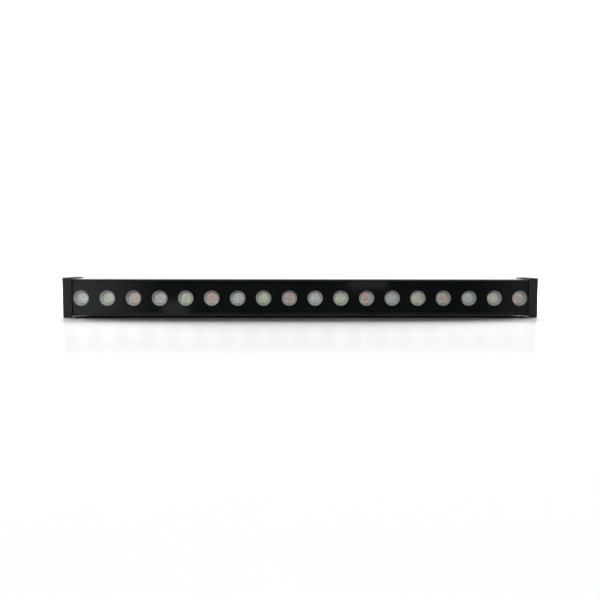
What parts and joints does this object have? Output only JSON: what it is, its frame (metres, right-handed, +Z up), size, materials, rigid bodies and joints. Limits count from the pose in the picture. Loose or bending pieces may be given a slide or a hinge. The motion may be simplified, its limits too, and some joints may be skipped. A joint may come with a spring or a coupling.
{
  "type": "linear wall washer",
  "caption": "Slim black LED bar light with round lenses in a row behind a flat glass front, end caps and tilting end brackets.",
  "frame": {"origin": "on the floor under the middle of the bar, where it stands on its end caps", "axes": "+X along the bar, -Y the way the light leaves, +Z up"},
  "size_m": [0.612, 0.0552, 0.0502],
  "materials": {
    "anodised_bar": "satin black anodised extrusion",
    "cover_glass": "clear tempered glass, polished",
    "black_silicone": "matt",
    "mask_black": "matt black sheet",
    "lens_acrylic": "clear moulded acrylic",
    "carrier_black": "fine moulded texture",
    "board_white": "white solder mask on an aluminium core",
    "thermal_pad": "matt grey",
    "board_green": "green solder mask",
    "ferrite": "sintered ferrite",
    "capacitor_can": "drawn can",
    "terminal_green": "moulded",
    "cap_satin_black": "die cast, satin black powder coat",
    "stainless": "plain stainless steel",
    "bracket_black": "black powder coat on steel sheet",
    "black_nylon": "moulded nylon"
  },
  "bodies": {
    "fixture": {"housing_extrusion": "anodised_bar", "cover_glass": "cover_glass", "cover_gasket": "black_silicone", "end_cap_gasket_left": "black_silicone", "end_cap_gasket_right": "black_silicone", "gland_seal_in": "black_silicone", "gland_seal_out": "black_silicone", "mask_plate": "mask_black", "lens_01": "lens_acrylic", "lens_02": "lens_acrylic", "lens_03": "lens_acrylic", "lens_04": "lens_acrylic", "lens_05": "lens_acrylic", "lens_06": "lens_acrylic", "lens_07": "lens_acrylic", "lens_08": "lens_acrylic", "lens_09": "lens_acrylic", "lens_10": "lens_acrylic", "lens_11": "lens_acrylic", "lens_12": "lens_acrylic", "lens_13": "lens_acrylic", "lens_14": "lens_acrylic", "lens_15": "lens_acrylic", "lens_16": "lens_acrylic", "lens_17": "lens_acrylic", "lens_18": "lens_acrylic", "lens_carrier": "carrier_black", "led_board": "board_white", "thermal_pad": "thermal_pad", "driver_board": "board_green", "driver_inductor": "ferrite", "driver_capacitor": "capacitor_can", "terminal_block": "terminal_green", "end_cap_left": "cap_satin_black", "end_cap_right": "cap_satin_black", "end_cap_screw_left_1": "stainless", "end_cap_screw_left_2": "stainless", "end_cap_screw_left_3": "stainless", "end_cap_screw_left_4": "stainless", "end_cap_screw_right_1": "stainless", "end_cap_screw_right_2": "stainless", "end_cap_screw_right_3": "stainless", "end_cap_screw_right_4": "stainless", "pivot_bolt_left": "stainless", "pivot_bolt_right": "stainless", "pivot_washer_left": "stainless", "pivot_washer_right": "stainless", "led_board_screw_left": "stainless", "led_board_screw_right": "stainless", "friction_washer_left": "black_nylon", "friction_washer_right": "black_nylon", "gland_body_in": "black_nylon", "gland_body_out": "black_nylon", "gland_nut_in": "black_nylon", "gland_nut_out": "black_nylon", "gland_locknut_in": "black_nylon", "gland_locknut_out": "black_nylon"},
    "bracket_left": {"bracket_left": "bracket_black"},
    "bracket_right": {"bracket_right": "bracket_black"}
  },
  "joints": [
    {"name": "left_bracket_tilt", "type": "hinge", "parent": "fixture", "child": "bracket_left", "pos_m": [-0.30185, 0.0044, 0.0251], "axis": [-1, 0, 0], "range_deg": [0, 150]},
    {"name": "right_bracket_tilt", "type": "hinge", "parent": "fixture", "child": "bracket_right", "pos_m": [0.30185, 0.0044, 0.0251], "axis": [-1, 0, 0], "range_deg": [0, 150]}
  ]
}
